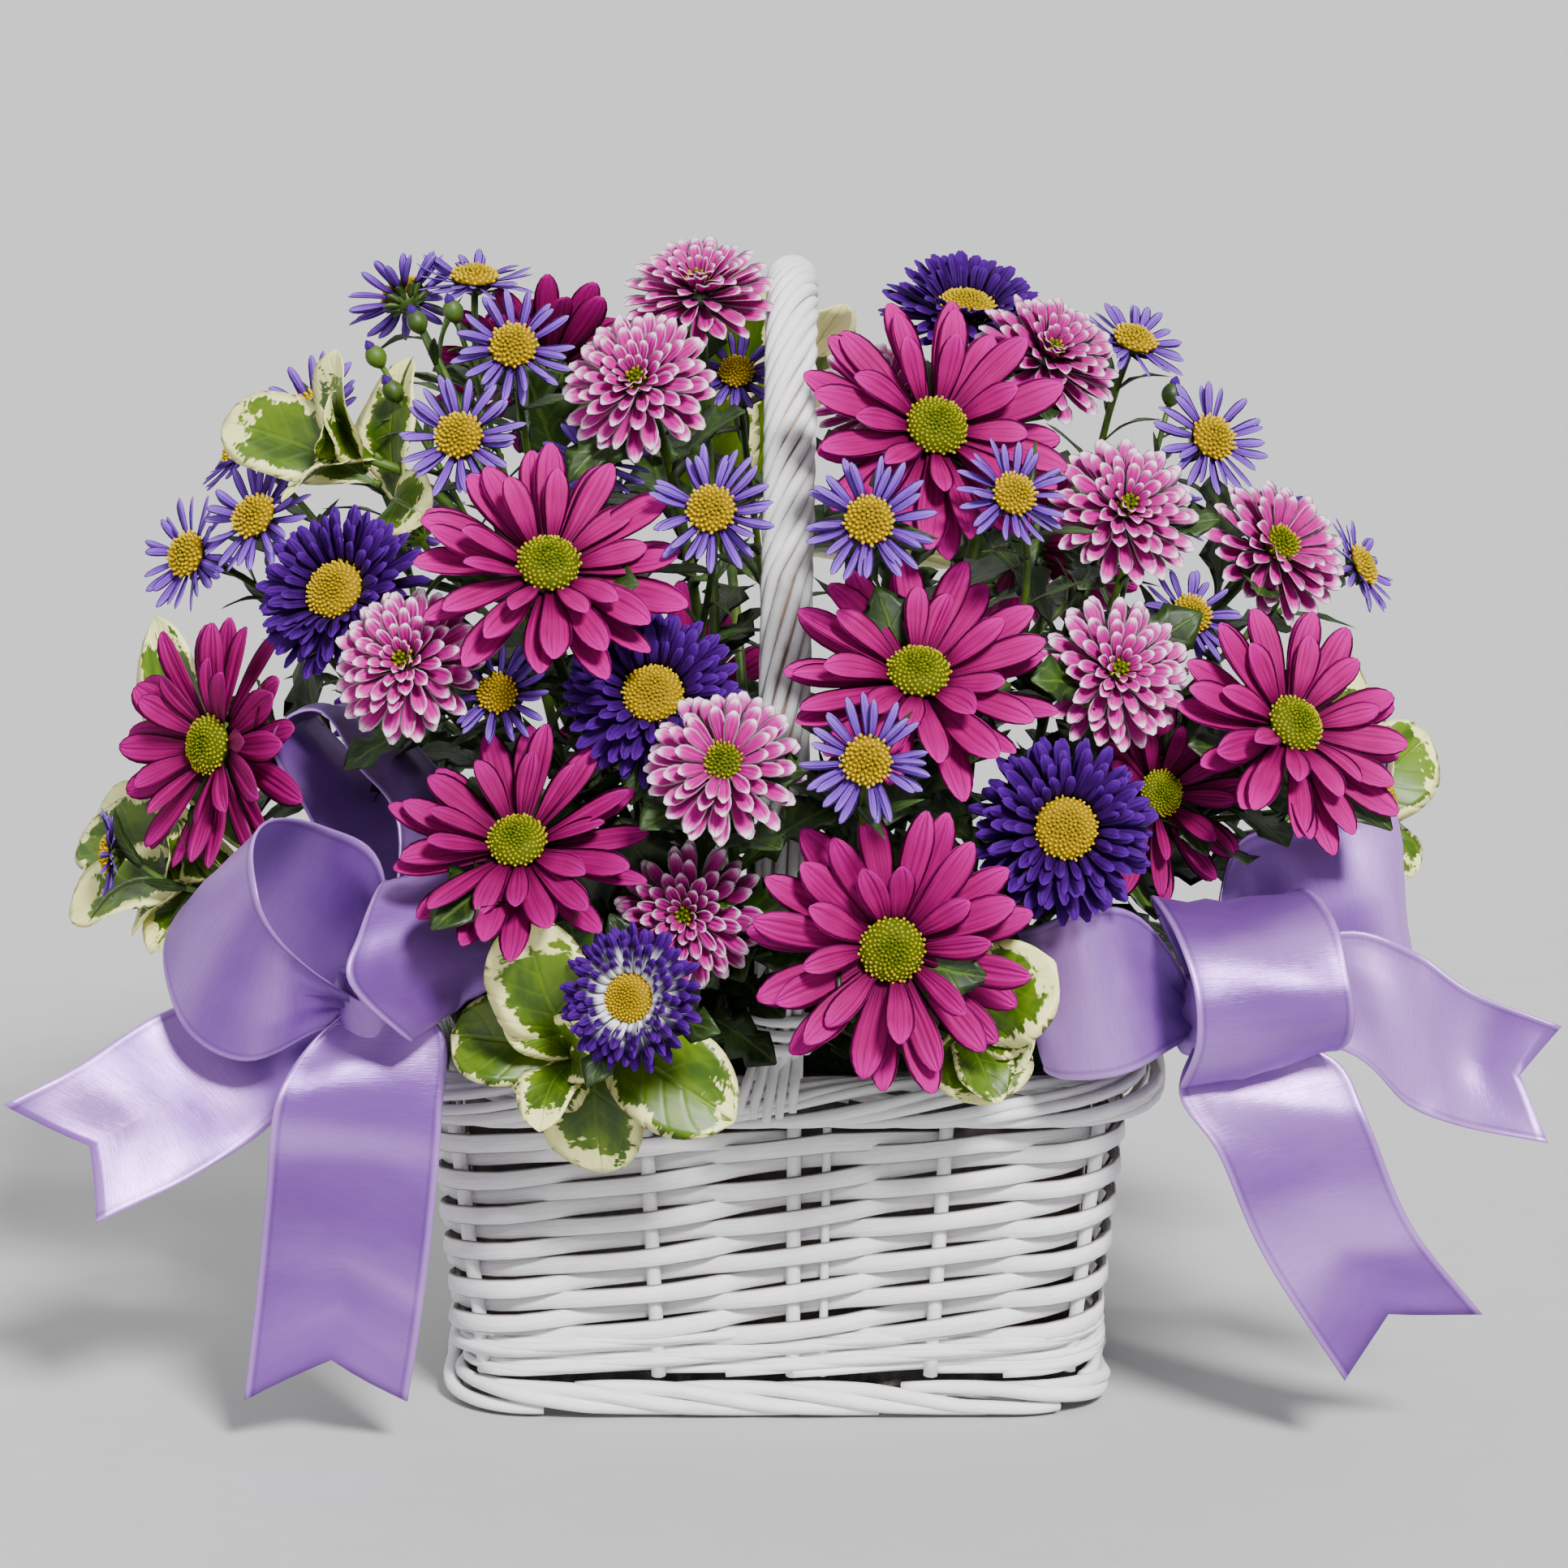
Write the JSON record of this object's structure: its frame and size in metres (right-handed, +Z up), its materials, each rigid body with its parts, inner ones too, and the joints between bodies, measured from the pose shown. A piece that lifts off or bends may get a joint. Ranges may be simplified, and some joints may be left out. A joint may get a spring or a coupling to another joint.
{
  "type": "flower basket arrangement",
  "caption": "Woven white willow basket with a fixed arched handle, filled with cut daisies, chrysanthemums, asters and variegated leaves, with satin bows at the front corners.",
  "frame": {"origin": "middle of the basket's underside, on the plane that it stands on", "axes": "+Z up, -Y towards the front where the bows are, +X to the right when seen from the front; the handle arches from front to back in the YZ plane"},
  "size_m": [0.3662, 0.2529, 0.2798],
  "materials": {
    "willow": "white paint on peeled willow, matte to satin",
    "liner": "thin grey-green plastic",
    "foam": "wet dark green floral foam",
    "wire": "paper-bound green wire",
    "ribbon": "lavender satin with a soft sheen",
    "daisy_petal": "fresh magenta petals, soft sheen, fine lengthwise grooves",
    "daisy_disc": "dense yellow-green florets",
    "mum_petal": "pink petals fading to white tips",
    "violet_petal": "dark violet petals",
    "violet_disc": "golden florets",
    "aster_petal": "lavender-blue narrow petals",
    "leaf": "glossy green leaves with ragged cream edges"
  },
  "bodies": {
    "root": {"basket_base": "willow", "basket_foot": "willow", "basket_wall": "willow", "basket_rim": "willow", "basket_handle": "willow", "basket_liner": "liner", "daisy_1": "daisy_petal", "daisy_1_disc": "daisy_disc", "daisy_2": "daisy_petal", "daisy_2_disc": "daisy_disc", "daisy_3": "daisy_petal", "daisy_3_disc": "daisy_disc", "daisy_4": "daisy_petal", "daisy_4_disc": "daisy_disc", "daisy_5": "daisy_petal", "daisy_5_disc": "daisy_disc", "daisy_6": "daisy_petal", "daisy_6_disc": "daisy_disc", "daisy_7": "daisy_petal", "daisy_7_disc": "daisy_disc", "daisy_8": "daisy_petal", "daisy_8_disc": "daisy_disc", "daisy_9": "daisy_petal", "daisy_9_disc": "daisy_disc", "daisy_10": "daisy_petal", "daisy_10_disc": "daisy_disc", "daisy_11": "daisy_petal", "daisy_11_disc": "daisy_disc", "violet_1": "violet_petal", "violet_2": "violet_petal", "violet_3": "violet_petal", "violet_4": "violet_petal", "violet_5": "violet_petal", "violet_6": "violet_petal", "violet_1_disc": "violet_disc", "violet_2_disc": "violet_disc", "violet_3_disc": "violet_disc", "violet_4_disc": "violet_disc", "mum_spray_top": "mum_petal", "mum_spray_left": "mum_petal", "mum_spray_centre": "mum_petal", "mum_spray_right": "mum_petal", "mum_spray_back": "mum_petal", "aster_spray_top": "aster_petal", "aster_spray_left": "aster_petal", "aster_spray_centre": "aster_petal", "aster_spray_middle": "aster_petal", "aster_spray_right": "aster_petal", "aster_spray_back": "aster_petal", "pittosporum_front_left": "leaf", "pittosporum_front_right": "leaf", "pittosporum_left": "leaf", "pittosporum_top": "leaf", "pittosporum_right": "leaf", "pittosporum_back": "leaf", "ribbon_left": "ribbon", "ribbon_right": "ribbon", "ribbon_left_pick": "wire", "ribbon_right_pick": "wire", "floral_foam": "foam"}
  },
  "joints": []
}
